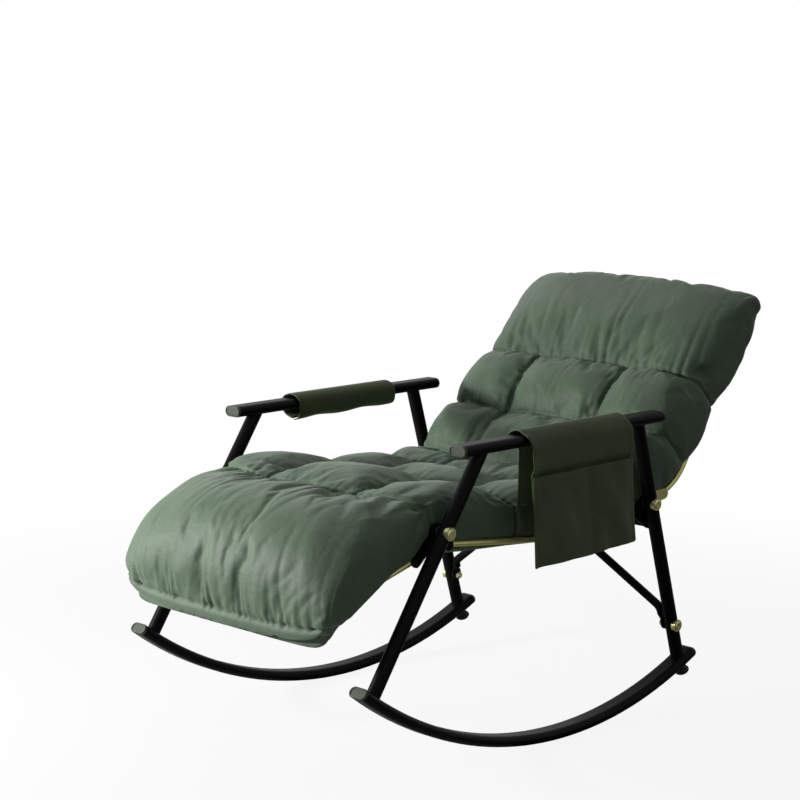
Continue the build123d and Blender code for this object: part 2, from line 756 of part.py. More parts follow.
def rolled_end(outline, start, end, half, side, crown, hang):
    """Sections of a cushion's end that folds round the end tube and hangs behind it."""
    full = side + hang
    rise = back_rise - hang
    return [
        outline(start, half, full, crown, rise),
        outline((start + end) / 2, half, full * roll_sides[0], crown * roll_crowns[0], rise),
        outline(end, half * roll_tip_width, full * roll_sides[1], crown * roll_crowns[1],
                rise + hang * roll_tip_lift),
    ]


seam_low, seam_high = back_seams
upper_base = along(back_bend, back_angle, seam_low, back_rise)
upper_front = along(back_bend, back_angle, seam_low, back_rise + lumbar_height)
lumbar_base = ((heel[0] + upper_base[0]) / 2, (heel[1] + upper_base[1]) / 2)
lumbar_front = ((knuckle_crease[0] + upper_front[0]) / 2, (knuckle_crease[1] + upper_front[1]) / 2)
crease_top = hypot(knuckle_crease[0] - heel[0], knuckle_crease[1] - heel[1]) - row_seam_crown

with BuildPart() as back_cushion:
    low_seam = back_section(seam_low, pad_half_at_seam, back_side_heights[0], back_seam_heights[0],
                            row_seam_crown, column_seams)
    high_seam = back_section(seam_high, pad_half_at_puff, back_side_heights[1], back_seam_heights[1],
                             row_seam_crown, column_seams)
    middle_top = sum(back_seam_heights) / 2
    middle_side = sum(back_side_heights) / 2
    loft(sections=[
        pad_section(heel, knuckle_crease, pad_half_at_seam, lumbar_side_height, crease_top, row_seam_crown,
                    column_seams),
        pad_section(lumbar_base, lumbar_front, pad_half_at_puff, lumbar_side_height, lumbar_height,
                    back_puff_crown, column_seams),
        low_seam,
    ])
    loft(sections=[
        low_seam,
        back_section((seam_low + seam_high) / 2, back_half, middle_side, middle_top, back_puff_crown,
                     column_seams),
        high_seam,
    ])
    head_stations = (seam_high, (seam_high + head_top_from) / 2, head_top_from)
    head_halves = (back_half, head_half, head_half)
    loft(sections=[
        head_section(*station) for station in zip(head_stations, head_halves, head_side_heights, head_crowns)
    ])
    loft(sections=rolled_end(head_section, head_top_from, head_top, head_half, head_side_heights[2],
                             head_crowns[2], head_hang))
    with BuildSketch(Plane.YZ):
        with BuildLine():
            ThreePointArc(knuckle_crease, knuckle_middle, knuckle_end)
            Polyline(knuckle_end, heel, knuckle_crease)
        make_face()
    extrude(amount=knuckle_half, both=True)
    add(band(back_line, back_bend_radius, -pad_sink, pad_base, half_track), mode=Mode.SUBTRACT)
save(back_cushion.part, "back_cushion")


# Footrest cushion: a roll at the hinge, one wide puff and a nose that folds over the end tube
def footrest_section(at, half, side, crown, rise=back_rise):
    """Outline across the footrest cushion at this distance down the footrest rail."""
    base = along(footrest_hinge_end, footrest_slope, -at, rise)
    front = along(footrest_hinge_end, footrest_slope, -at, rise + 1)
    return pad_section(base, front, half, side, side, crown)


footrest_crease = along(front_pivot, footrest_knuckle_top, footrest_knuckle_radius)
footrest_base = along(footrest_hinge_end, footrest_slope, -footrest_heel, back_rise)

with BuildPart() as footrest_cushion:
    with BuildSketch(Plane.YZ):
        with Locations(front_pivot):
            Circle(footrest_knuckle_radius)
    extrude(amount=knuckle_half, both=True)
    loft(sections=[
        pad_section(footrest_base, footrest_crease, pad_half_at_seam, footrest_side_heights[0],
                    footrest_side_heights[0], footrest_crowns[0]),
        footrest_section(footrest_nose_from / 2, footrest_half, footrest_side_heights[1], footrest_crowns[1]),
        footrest_section(footrest_nose_from, footrest_half, footrest_side_heights[2], footrest_crowns[2]),
    ])
    loft(sections=rolled_end(footrest_section, footrest_nose_from, footrest_nose, footrest_half,
                             footrest_side_heights[2], footrest_crowns[2], footrest_hang))
    add(straight_band(*footrest_line, -pad_sink, pad_base, half_track), mode=Mode.SUBTRACT)
save(footrest_cushion.part, "footrest_cushion")


def hood(start, angle, near, far, hang):
    """Cloth pocket behind the rails from near to far along a slope, with a cheek on each side."""
    cheek_inner = moving_rail_x + rail_width / 2 + hood_gap
    near_drop = rail_height / 2 + hood_gap
    corners = ((near, -near_drop), (far, -hang))
    outer = [along(start, angle, at, rise - hood_thickness) for at, rise in corners]
    inner = [along(start, angle, at, rise) for at, rise in reversed(corners)]
    upper = [along(start, angle, at, back_rise) for at, rise in reversed(corners)]
    with BuildPart() as pocket:
        with BuildSketch(Plane.YZ):
            Polygon(*outer, *inner, align=None)
        extrude(amount=cheek_inner + hood_thickness, both=True)
        for side, sign in sides:
            cheek = Plane(origin=(sign * cheek_inner, 0, 0), x_dir=(0, sign, 0), z_dir=(sign, 0, 0))
            with BuildSketch(cheek):
                Polygon(*[(sign * y, z) for y, z in (*outer, *upper)], align=None)
            extrude(amount=hood_thickness)
    return pocket.part


with BuildPart() as head_hood:
    add(hood(back_bend, back_angle, head_hood_from, head_top_from, head_hang - back_rise - hood_thickness))
save(head_hood.part, "head_hood")

with BuildPart() as footrest_hood:
    add(mirror(hood((-footrest_hinge_end[0], footrest_hinge_end[1]), -footrest_slope, footrest_hood_from,
                    footrest_nose_from, footrest_hang - back_rise - hood_thickness), about=Plane.XZ))
save(footrest_hood.part, "footrest_hood")

# Bag over the left armrest: a padded strip of cloth with a pocket panel on its outer face
strip_inner = oval_width / 2 + cloth_gap
strip_outer = strip_inner + cloth_thickness
bag_length = bag_rear_y - bag_front_y

with BuildPart() as armrest_bag:
    with BuildSketch(Plane.XZ.offset(-bag_front_y)):
        with Locations((half_track, armrest_z)):
            SlotOverall(2 * strip_outer, oval_height + 2 * (cloth_gap + cloth_thickness))
        for facing, bottom in ((1, bag_outer_bottom_z), (-1, bag_inner_bottom_z)):
            drop = armrest_z - bottom
            with Locations((half_track + facing * (strip_inner + cloth_thickness / 2), armrest_z - drop / 2)):
                Rectangle(cloth_thickness, drop)
        with Locations((half_track, armrest_z)):
            SlotOverall(2 * strip_inner, oval_height + 2 * cloth_gap, mode=Mode.SUBTRACT)
            Rectangle(2 * strip_inner, oval_height, align=(Align.CENTER, Align.MAX), mode=Mode.SUBTRACT)
    extrude(amount=-bag_length)
save(armrest_bag.part, "armrest_bag")

pocket_x = half_track + strip_outer
pocket_height = pocket_top_z - bag_outer_bottom_z
pocket_width = (bag_length - 3 * pocket_wall) / 2

with BuildPart() as bag_pockets:
    with BuildSketch(Plane.YZ.offset(pocket_x)):
        with Locations((bag_front_y, bag_outer_bottom_z)):
            Rectangle(bag_length, pocket_height, align=(Align.MIN, Align.MIN))
    extrude(amount=pocket_depth)
    with BuildSketch(Plane.YZ.offset(pocket_x)):
        for place in range(2):
            start_y = bag_front_y + pocket_wall + place * (pocket_width + pocket_wall)
            with Locations((start_y, bag_outer_bottom_z + pocket_wall)):
                Rectangle(pocket_width, pocket_height, align=(Align.MIN, Align.MIN))
    extrude(amount=pocket_depth - pocket_wall, mode=Mode.SUBTRACT)
save(bag_pockets.part, "bag_pockets")

# Padded sleeve that hangs loosely round the right armrest
with BuildPart() as armrest_sleeve:
    with BuildSketch(Plane.XZ.offset(-sleeve_front_y)):
        with Locations((-half_track, armrest_z)):
            SlotOverall(2 * strip_outer, oval_height + 2 * (cloth_gap + cloth_thickness))
        with Locations((-half_track, sleeve_bottom_z + sleeve_fold_radius)):
            SlotOverall(oval_width, 2 * sleeve_fold_radius)
        make_hull()
        offset(amount=-cloth_thickness, mode=Mode.SUBTRACT)
    extrude(amount=sleeve_front_y - sleeve_rear_y)
save(armrest_sleeve.part, "armrest_sleeve")
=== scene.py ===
import math
import bpy
import numpy as np
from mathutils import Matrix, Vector


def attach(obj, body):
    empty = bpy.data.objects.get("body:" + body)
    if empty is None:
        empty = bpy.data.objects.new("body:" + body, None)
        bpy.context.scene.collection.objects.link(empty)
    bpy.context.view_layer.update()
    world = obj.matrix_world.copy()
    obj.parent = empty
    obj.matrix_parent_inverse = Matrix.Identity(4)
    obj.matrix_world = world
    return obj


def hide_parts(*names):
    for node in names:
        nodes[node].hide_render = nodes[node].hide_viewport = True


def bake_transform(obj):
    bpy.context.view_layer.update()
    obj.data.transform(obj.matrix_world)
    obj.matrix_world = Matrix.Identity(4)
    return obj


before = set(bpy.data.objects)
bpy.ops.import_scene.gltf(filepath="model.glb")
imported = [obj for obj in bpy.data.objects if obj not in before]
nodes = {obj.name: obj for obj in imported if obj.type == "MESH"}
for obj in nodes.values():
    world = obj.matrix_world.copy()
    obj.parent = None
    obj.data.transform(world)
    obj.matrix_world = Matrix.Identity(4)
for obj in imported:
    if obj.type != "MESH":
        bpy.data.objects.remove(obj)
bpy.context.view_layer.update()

print("frame loaded,", len(nodes), "nodes")

# The chair faces -Y, its runners stand on z = 0, and the bag hangs on the +X armrest.
# Side view places are (y, z) in metres.
chair = {
    "backBend": (0.3412, 0.4110),       # where the back rails turn upwards
    "backAngle": math.radians(57.0),
    "footHinge": (-0.3323, 0.3800),     # upper end of the footrest rails
    "footSlope": math.radians(15.4),
    "seatLine": ((-0.2813, 0.3930), (0.0600, 0.3520), (0.2082, 0.3790)),
    "onRail": 0.0056,                   # underside of the cushion above a rail's middle line
    "columnSeam": 0.112,                # x of the seams between puffs
}


def onBack(along, front):
    y, z = chair["backBend"]
    c, s = math.cos(chair["backAngle"]), math.sin(chair["backAngle"])
    return (y + along * c - front * s, z + along * s + front * c)


def onFoot(along, above):
    y, z = chair["footHinge"]
    c, s = math.cos(chair["footSlope"]), math.sin(chair["footSlope"])
    return (y - along * c - above * s, z - along * s + above * c)


def onSeatRail(y, above):
    ys = [p[0] for p in chair["seatLine"]]
    zs = [p[1] for p in chair["seatLine"]]
    return (y, float(np.interp(y, ys, zs)) + above)


# Small helpers

def deselectAll():
    for other in bpy.context.selected_objects:
        other.select_set(False)


def activate(obj):
    deselectAll()
    obj.select_set(True)
    bpy.context.view_layer.objects.active = obj


def applyAll(obj):
    activate(obj)
    for modifier in list(obj.modifiers):
        bpy.ops.object.modifier_apply(modifier=modifier.name)


def addFiner(obj):
    finer = obj.modifiers.new("Finer", "SUBSURF")
    finer.levels = 1
    finer.render_levels = 1


def meshObject(name, verts, faces):
    mesh = bpy.data.meshes.new(name)
    mesh.from_pydata([tuple(v) for v in verts], [], faces)
    mesh.update()
    obj = bpy.data.objects.new(name, mesh)
    bpy.context.scene.collection.objects.link(obj)
    return obj


def outwardFaces(obj):
    activate(obj)
    bpy.ops.object.mode_set(mode="EDIT")
    bpy.ops.mesh.select_all(action="SELECT")
    bpy.ops.mesh.normals_make_consistent(inside=False)
    bpy.ops.object.mode_set(mode="OBJECT")


def paint(obj, material):
    obj.data.materials.clear()
    obj.data.materials.append(material)


def curveThrough(keys, at):
    # smooth line through (u, value, value ...) keys, read at the given u
    keys = np.array(keys, float)
    u, p = keys[:, 0], keys[:, 1:]
    slope = np.zeros_like(p)
    slope[1:-1] = (p[2:] - p[:-2]) / (u[2:] - u[:-2])[:, None]
    slope[0] = (p[1] - p[0]) / (u[1] - u[0])
    slope[-1] = (p[-1] - p[-2]) / (u[-1] - u[-2])
    at = np.asarray(at, float)
    i = np.clip(np.searchsorted(u, at, side="right") - 1, 0, len(u) - 2)
    h = (u[i + 1] - u[i])[:, None]
    t = ((at - u[i]) / (u[i + 1] - u[i]))[:, None]
    return (p[i] * (2 * t**3 - 3 * t**2 + 1) + slope[i] * h * (t**3 - 2 * t**2 + t)
            + p[i + 1] * (3 * t**2 - 2 * t**3) + slope[i + 1] * h * (t**3 - t**2))


def hump(f, power=3.2, fullness=0.55):
    # 0 at both ends of a puff and 1 over its middle, with steep shoulders at the seams
    return (1.0 - np.abs(2.0 * np.clip(f, 0.0, 1.0) - 1.0) ** power) ** fullness


def smoothstep(f):
    f = np.clip(f, 0.0, 1.0)
    return f * f * (3.0 - 2.0 * f)


# Materials

def newMaterial(name):
    material = bpy.data.materials.new(name)
    material.use_nodes = True
    tree = material.node_tree
    shader = tree.nodes["Principled BSDF"]
    return material, tree, shader


def addNode(tree, kind, **settings):
    node = tree.nodes.new(kind)
    for key, value in settings.items():
        setattr(node, key, value)
    return node


def setSockets(node, values):
    for name, value in values.items():
        node.inputs[name].default_value = value


def objectCoords(tree):
    return addNode(tree, "ShaderNodeTexCoord").outputs["Object"]


def noiseNode(tree, vector, scale, detail=3.0, roughness=0.55, distortion=0.0):
    node = addNode(tree, "ShaderNodeTexNoise")
    setSockets(node, {"Scale": scale, "Detail": detail, "Roughness": roughness, "Distortion": distortion})
    tree.links.new(vector, node.inputs["Vector"])
    return node.outputs["Fac"]


def rampNode(tree, factor, stops):
    ramp = addNode(tree, "ShaderNodeValToRGB")
    while len(ramp.color_ramp.elements) < len(stops):
        ramp.color_ramp.elements.new(0.5)
    for element, (place, colour) in zip(ramp.color_ramp.elements, stops):
        element.position = place
        element.color = (*colour, 1.0)
    tree.links.new(factor, ramp.inputs["Fac"])
    return ramp.outputs["Color"]


def mathNode(tree, operation, a, b):
    node = addNode(tree, "ShaderNodeMath", operation=operation)
    for socket, value in zip(node.inputs, (a, b)):
        if isinstance(value, (int, float)):
            socket.default_value = value
        else:
            tree.links.new(value, socket)
    return node.outputs[0]


def rangeNode(tree, value, low, high, **settings):
    node = addNode(tree, "ShaderNodeMapRange", **settings)
    setSockets(node, {"To Min": low, "To Max": high})
    tree.links.new(value, node.inputs["Value"])
    return node


def bumpChain(tree, shader, layers):
    # each layer is (height socket, strength, distance in metres)
    normal = None
    for height, strength, distance in layers:
        bump = addNode(tree, "ShaderNodeBump")
        setSockets(bump, {"Strength": strength, "Distance": distance})
        tree.links.new(height, bump.inputs["Height"])
        if normal is not None:
            tree.links.new(normal, bump.inputs["Normal"])
        normal = bump.outputs["Normal"]
    tree.links.new(normal, shader.inputs["Normal"])


waveTurns = 20.0    # radians per unit of a wave texture at scale 1


def weaveHeight(tree, uv, threads):
    # over and under threads from two crossing waves, threads in radians per metre
    heights = []
    for direction in ("X", "Y"):
        wave = addNode(tree, "ShaderNodeTexWave", wave_type="BANDS", bands_direction=direction)
        wave.inputs["Scale"].default_value = threads / waveTurns
        tree.links.new(uv, wave.inputs["Vector"])
        heights.append(wave.outputs["Fac"])
    return mathNode(tree, "MULTIPLY", heights[0], heights[1])


# In a look, a noise is (scale, detail, roughness, distortion) and a bump is (strength, distance in metres).
cushionLook = {
    "broad": (7.0, 4.0, 0.6, 0.6), "fine": (260.0, 3.0), "shares": (0.75, 0.25),
    "stops": ((0.30, (0.055, 0.086, 0.053)), (0.52, (0.073, 0.110, 0.069)), (0.74, (0.091, 0.131, 0.085))),
    "sockets": {"Roughness": 0.60, "Specular IOR Level": 0.26, "Sheen Weight": 0.14, "Sheen Roughness": 0.45,
                "Sheen Tint": (0.86, 1.0, 0.88, 1.0)},
    "crumple": (38.0, 4.0, 0.5, 0.9), "crumpleBump": (0.34, 0.004),
    "threads": 900.0, "weaveBump": (0.22, 0.0003),
}
bagLook = {
    "broad": (14.0, 4.0, 0.6), "fine": (480.0, 3.0), "shares": (0.6, 0.4),
    "stops": ((0.30, (0.059, 0.086, 0.037)), (0.70, (0.098, 0.134, 0.064))),
    "sockets": {"Roughness": 0.74, "Specular IOR Level": 0.2, "Sheen Weight": 0.07, "Sheen Roughness": 0.5},
    "crumple": (60.0, 3.0, 0.5, 0.5), "crumpleBump": (0.30, 0.002),
    "threads": 1100.0, "weaveBump": (0.2, 0.0003),
}


def fabric(name, look):
    material, tree, shader = newMaterial(name)
    coords = objectCoords(tree)
    uv = addNode(tree, "ShaderNodeUVMap", uv_map="fabric").outputs["UV"]
    shares = [mathNode(tree, "MULTIPLY", noiseNode(tree, coords, *look[key]), share)
              for key, share in zip(("broad", "fine"), look["shares"])]
    mixed = mathNode(tree, "ADD", *shares)
    tree.links.new(rampNode(tree, mixed, look["stops"]), shader.inputs["Base Color"])
    setSockets(shader, look["sockets"])
    crumple = noiseNode(tree, coords, *look["crumple"])
    weave = weaveHeight(tree, uv, look["threads"])
    bumpChain(tree, shader, ((crumple, *look["crumpleBump"]), (weave, *look["weaveBump"])))
    return material


blackLook = {
    "cloud": (22.0, 4.0),
    "stops": ((0.35, (0.0034, 0.0040, 0.0031)), (0.70, (0.0056, 0.0065, 0.0051))),
    "roughness": (0.30, 0.46),      # follows the cloud
    "sockets": {"Specular IOR Level": 0.04},
    "grain": (900.0, 2.0), "grainBump": (0.10, 0.0004),
}
railLook = {
    "cloud": (30.0, 4.0),
    "stops": ((0.35, (0.60, 0.58, 0.20)), (0.70, (0.72, 0.70, 0.28))),
    "sockets": {"Metallic": 0.35, "Roughness": 0.38},
    "grain": (700.0, 2.0), "grainBump": (0.12, 0.0004),
}
boltLook = {
    "cloud": (90.0, 4.0),
    "stops": ((0.35, (0.56, 0.53, 0.24)), (0.70, (0.70, 0.67, 0.35))),
    "sockets": {"Metallic": 0.7, "Roughness": 0.32},
    "grain": (1400.0, 2.0), "grainBump": (0.15, 0.0003),
}


def plasticLook(low, high, roughness):
    return {
        "cloud": (60.0, 3.0),
        "stops": ((0.30, low), (0.70, high)),
        "sockets": {"Roughness": roughness, "Specular IOR Level": 0.2},
        "grain": (1600.0, 2.0), "grainBump": (0.18, 0.0004),
    }


capLook = plasticLook((0.030, 0.039, 0.025), (0.046, 0.058, 0.038), 0.5)
spacerLook = plasticLook((0.020, 0.022, 0.020), (0.032, 0.035, 0.030), 0.5)
rubberLook = plasticLook((0.012, 0.012, 0.012), (0.022, 0.022, 0.021), 0.7)


def hardFinish(name, look):
    material, tree, shader = newMaterial(name)
    coords = objectCoords(tree)
    cloud = noiseNode(tree, coords, *look["cloud"])
    tree.links.new(rampNode(tree, cloud, look["stops"]), shader.inputs["Base Color"])
    setSockets(shader, look["sockets"])
    if "roughness" in look:
        rough = rangeNode(tree, cloud, *look["roughness"])
        tree.links.new(rough.outputs["Result"], shader.inputs["Roughness"])
    grain = noiseNode(tree, coords, *look["grain"])
    bumpChain(tree, shader, ((grain, *look["grainBump"]),))
    return material


finishes = {
    "frame_black": hardFinish("blackPaint", blackLook),
    "rail_gold": hardFinish("goldPaint", railLook),
    "bolt_gold": hardFinish("goldMetal", boltLook),
    "cap_plastic": hardFinish("capPlastic", capLook),
    "spacer_plastic": hardFinish("spacerPlastic", spacerLook),
    "stop_rubber": hardFinish("stopRubber", rubberLook),
    "cushion_fabric": fabric("cushionFabric", cushionLook),
    "bag_fabric": fabric("bagCanvas", bagLook),
}
finishes["sling_fabric"] = finishes["bag_fabric"]

for node in nodes.values():
    for slot in node.material_slots:
        slot.material = finishes[slot.material.name.split(".")[0]]
# the photo shows the gold of the rails at the rear bolts and none at the front ones
for name, finish in (("seat_front_pivot_plates", "frame_black"), ("back_pivot_plates", "rail_gold")):
    for slot in nodes[name].material_slots:
        slot.material = finishes[finish]
print("finishes on the frame")


# Quilted cushion: two closed quilts that meet at a seam of the seat. Each is a row of rings, and a
# ring runs from the middle of the underside round one side, over the top and back.
# u counts the rows, and is whole at a row's seam.
ringCounts = {"belly": 10, "lip": 3, "side": 10, "outer": 27, "inner": 18}
quilting = {
    "spacing": 0.0070,        # between rings
    "lineSamples": 600,       # for the length of the top line
    "tuftDepth": 0.014,       # how far a tuft is drawn in below the seam
    "seamRise": 0.012,        # how far a seam rises between its tufts
    "bellyHalf": 0.2490,      # the underside hangs between the rails
    "bellyInset": 0.004,      # and ends at least this far inside the edge
    "bellyRise": 0.10,        # share of the way up to the edge that the underside makes
    "bellyPower": 6,
    "lipRise": 1.8,
    "sideBulge": 0.008,
    "sideShares": (0.3, 0.7),     # of the bulge: all along the side, and over the puffs
    "seamNotch": 0.005,       # how far a row's seam draws the side in
    "crowding": 1.2,          # the points lie closer near the outer edge
    "widePuff": (2.6, 0.6),   # power and fullness of a puff without columns
    "easeFrom": 0.55, "easeOver": 0.45,       # a wide puff runs out flatter over its last part
    "easedTuft": 0.75, "easedPuff": 0.5,
    "girth": 0.75,            # half the width of the flat cloth
    "widest": 0.2770,         # the legs stand just outside
    "yield": 0.010,           # the sides are pressed flat over this much
}
onRail = chair["onRail"]

frontQuilt = {
    "name": "front_quilt",
    "facing": -1,
    # start, end, puff height, in columns or one wide puff, boxed sides
    "rows": ((0.0, 1.0, 0.021, True, True), (1.0, 2.0, 0.020, False, False), (2.0, 2.2, 0.0, False, True)),
    "top": ((0.0, -0.105, 0.440), (0.5, -0.232, 0.464), (1.0, -0.355, 0.474), (1.3, -0.434, 0.458),
            (1.6, -0.515, 0.412), (1.85, -0.557, 0.344), (2.0, -0.562, 0.281), (2.2, -0.556, 0.251)),
    "welt": ((0.0, -0.105, 0.430), (0.5, -0.215, 0.450), (1.0, -0.318, 0.463), (1.3, -0.418, 0.420),
             (1.6, -0.497, 0.376), (1.85, -0.543, 0.326), (2.0, -0.553, 0.297), (2.2, -0.549, 0.276)),
    "edge": ((0.0, *onSeatRail(-0.105, onRail)), (0.5, *onSeatRail(-0.205, onRail)), (1.0, -0.312, 0.392),
             (1.3, *onFoot(0.055, onRail)), (1.6, -0.445, 0.340), (1.85, -0.507, 0.304),
             (2.0, -0.531, 0.288), (2.2, -0.545, 0.274)),
    "under": ((0.0, -0.105, 0.3555), (0.5, -0.205, 0.3620), (1.0, -0.310, 0.3690), (1.3, -0.385, 0.350),
              (1.6, -0.445, 0.326), (1.85, -0.505, 0.286), (2.0, -0.530, 0.264), (2.2, -0.550, 0.249)),
    "half": ((0.0, 0.2655), (0.5, 0.2655), (1.0, 0.2655), (1.4, 0.270), (1.7, 0.272), (1.85, 0.271),
             (2.0, 0.263), (2.2, 0.238)),
    "roundness": ((0.0, 6.0), (0.6, 6.0), (1.0, 4.5), (1.5, 3.2), (2.0, 3.6), (2.2, 3.6)),
    "pillowed": ((0.0, 0.0), (0.85, 0.0), (1.15, 0.5), (1.5, 1.0), (2.2, 1.0)),
    "tuckedSeam": 2.0,
    "replaced": ("footrest_cushion", "footrest_sling", "footrest_hood"),
    "bodies": ("base", "footrest"),
    "bend": ((0.0, -0.265, 0.430), (0.0, -0.395, 0.400)),
}

backQuilt = {
    "name": "back_quilt",
    "facing": 1,
    "rows": ((0.0, 1.0, 0.022, True, True), (1.0, 2.0, 0.020, True, True), (2.0, 3.0, 0.028, True, False),
             (3.0, 4.0, 0.028, True, False), (4.0, 6.0, 0.016, False, False)),
    "top": ((0.0, -0.105, 0.440), (0.5, -0.020, 0.436), (1.0, 0.065, 0.430), (1.5, 0.118, 0.430),
            (2.0, 0.168, 0.436), (2.5, *onBack(-0.005, 0.140)), (3.0, *onBack(0.052, 0.120)),
            (3.5, *onBack(0.120, 0.109)), (4.0, *onBack(0.190, 0.094)), (4.4, *onBack(0.270, 0.074)),
            (4.8, *onBack(0.347, 0.046)), (5.15, *onBack(0.403, 0.013)), (5.35, *onBack(0.416, -0.012)),
            (5.55, *onBack(0.404, -0.034)), (5.75, *onBack(0.358, -0.033)), (6.0, *onBack(0.292, -0.018))),
    "welt": ((0.0, -0.105, 0.430), (0.5, -0.020, 0.421), (1.0, 0.070, 0.418), (1.5, 0.130, 0.424),
             (2.0, 0.190, 0.438), (2.5, *onBack(0.010, 0.112)), (3.0, *onBack(0.059, 0.092)),
             (3.5, *onBack(0.120, 0.076)), (4.0, *onBack(0.184, 0.056)), (4.4, *onBack(0.260, 0.038)),
             (4.8, *onBack(0.336, 0.020)), (5.15, *onBack(0.384, 0.002)), (5.35, *onBack(0.394, -0.014)),
             (5.55, *onBack(0.382, -0.034)), (5.75, *onBack(0.342, -0.035)), (6.0, *onBack(0.292, -0.021))),
    "edge": ((0.0, *onSeatRail(-0.105, onRail)), (0.5, *onSeatRail(-0.020, onRail)),
             (1.0, *onSeatRail(0.070, 0.008)), (1.5, *onSeatRail(0.140, onRail)), (2.0, 0.215, 0.388),
             (2.5, 0.292, 0.406), (3.0, *onBack(0.040, 0.005)), (3.5, *onBack(0.098, -0.012)),
             (4.0, *onBack(0.165, -0.010)), (4.4, *onBack(0.228, -0.028)), (4.8, *onBack(0.266, -0.033)),
             (5.35, *onBack(0.284, -0.034)), (6.0, *onBack(0.290, -0.022))),
    "under": ((0.0, -0.105, 0.3555), (0.5, -0.020, 0.3500), (1.0, 0.065, 0.3465), (1.5, 0.140, 0.352),
              (2.0, 0.225, 0.366), (2.5, 0.296, 0.388), (3.0, *onBack(0.040, -0.006)),
              (3.5, *onBack(0.095, -0.014)), (4.0, *onBack(0.165, -0.015)), (4.4, *onBack(0.225, -0.016)),
              (4.8, *onBack(0.262, -0.017)), (5.35, *onBack(0.280, -0.018)), (6.0, *onBack(0.290, -0.019))),
    "half": ((0.0, 0.2655), (1.0, 0.2655), (2.0, 0.2655), (2.5, 0.268), (3.0, 0.270), (3.5, 0.273),
             (4.0, 0.272), (4.6, 0.276), (5.2, 0.276), (5.6, 0.272), (6.0, 0.270)),
    "roundness": ((0.0, 6.0), (1.0, 6.0), (2.0, 5.0), (3.0, 5.0), (4.0, 4.2), (5.0, 5.0), (6.0, 5.0)),
    "pillowed": ((0.0, 0.0), (2.0, 0.0), (2.6, 0.5), (3.7, 0.6), (4.2, 0.8), (4.6, 1.0), (6.0, 1.0)),
    "replaced": ("seat_cushion", "seat_sling", "back_cushion", "back_sling", "head_hood"),
    "bodies": ("base", "back"),
    "bend": ((0.0, 0.120, 0.410), (0.0, 0.285, 0.480)),
}


def stationsOf(quilt):
    # u of every ring, close together and with one on each seam
    reach = np.linspace(quilt["rows"][0][0], quilt["rows"][-1][1], quilting["lineSamples"])
    line = curveThrough(quilt["top"], reach)
    length = np.concatenate(([0.0], np.cumsum(np.linalg.norm(np.diff(line, axis=0), axis=1))))
    stations = []
    for start, end, _, _, _ in quilt["rows"]:
        run = np.interp(end, reach, length) - np.interp(start, reach, length)
        count = max(2, round(run / quilting["spacing"]))
        stations += list(np.linspace(start, end, count + 1)[:-1])
    return np.array(stations + [quilt["rows"][-1][1]])


def halfRing():
    # (zone, place in the zone from 0 to 1) from the middle of the underside to the middle of the top
    places = []
    for zone in ("belly", "lip", "side", "outer", "inner"):
        count = ringCounts[zone]
        places += [(zone, k / count) for k in range(count)]
    return places + [("inner", 1.0)]


def topNormals(quilt, u):
    # outward in the side view, square to the top line
    step = 1e-3
    ahead = curveThrough(quilt["top"], np.clip(u + step, u[0], u[-1]))
    behind = curveThrough(quilt["top"], np.clip(u - step, u[0], u[-1]))
    tangent = (ahead - behind) / np.linalg.norm(ahead - behind, axis=1)[:, None]
    return quilt["facing"] * np.stack((-tangent[:, 1], tangent[:, 0]), axis=1)


